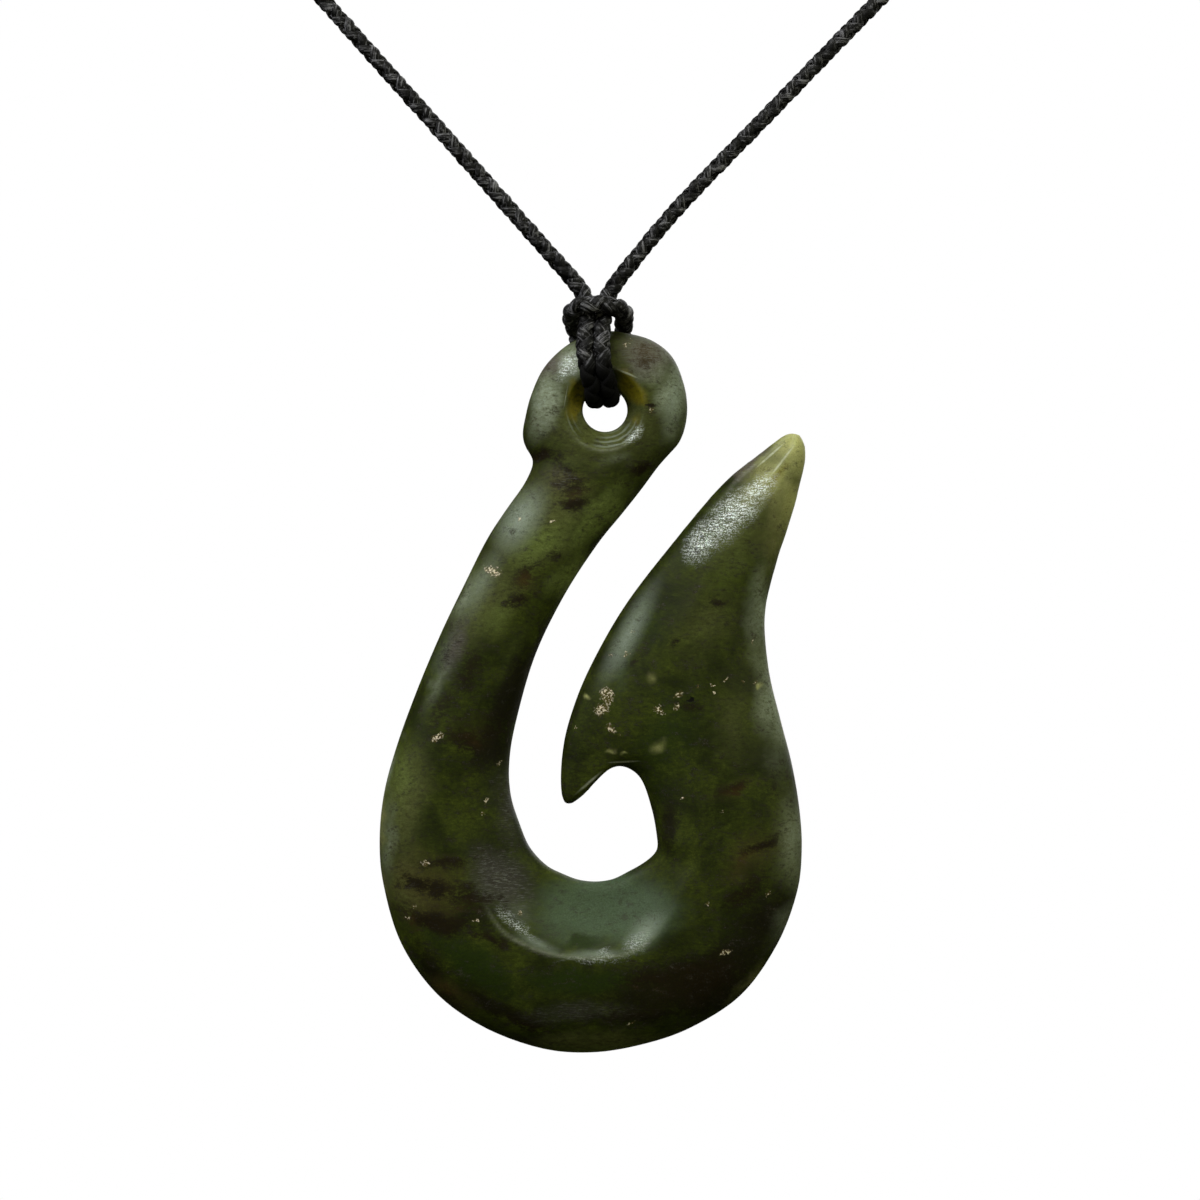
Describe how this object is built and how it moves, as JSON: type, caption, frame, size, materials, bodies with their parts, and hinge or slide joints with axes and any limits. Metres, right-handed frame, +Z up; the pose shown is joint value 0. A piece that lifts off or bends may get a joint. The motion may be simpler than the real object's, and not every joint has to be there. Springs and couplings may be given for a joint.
{
  "type": "hei matau pendant on a neck cord",
  "caption": "Fish-hook pendant carved from dark green stone, with a barbed point, hung by its pierced head from a black braided neck cord.",
  "frame": {"origin": "the spot where the cord rests on the nape of the neck", "axes": "+X to the right seen from the front, +Z up, and the carved front of the stone looks along -Y"},
  "size_m": [0.1276, 0.1295, 0.1724],
  "materials": {
    "greenstone": "polished stone with a soft satin sheen",
    "black_braid": "waxed black braid"
  },
  "bodies": {
    "root": {"hook": "greenstone", "cord_hitch": "black_braid", "cord_left": "black_braid", "cord_right": "black_braid", "nape_knot": "black_braid"}
  },
  "joints": []
}
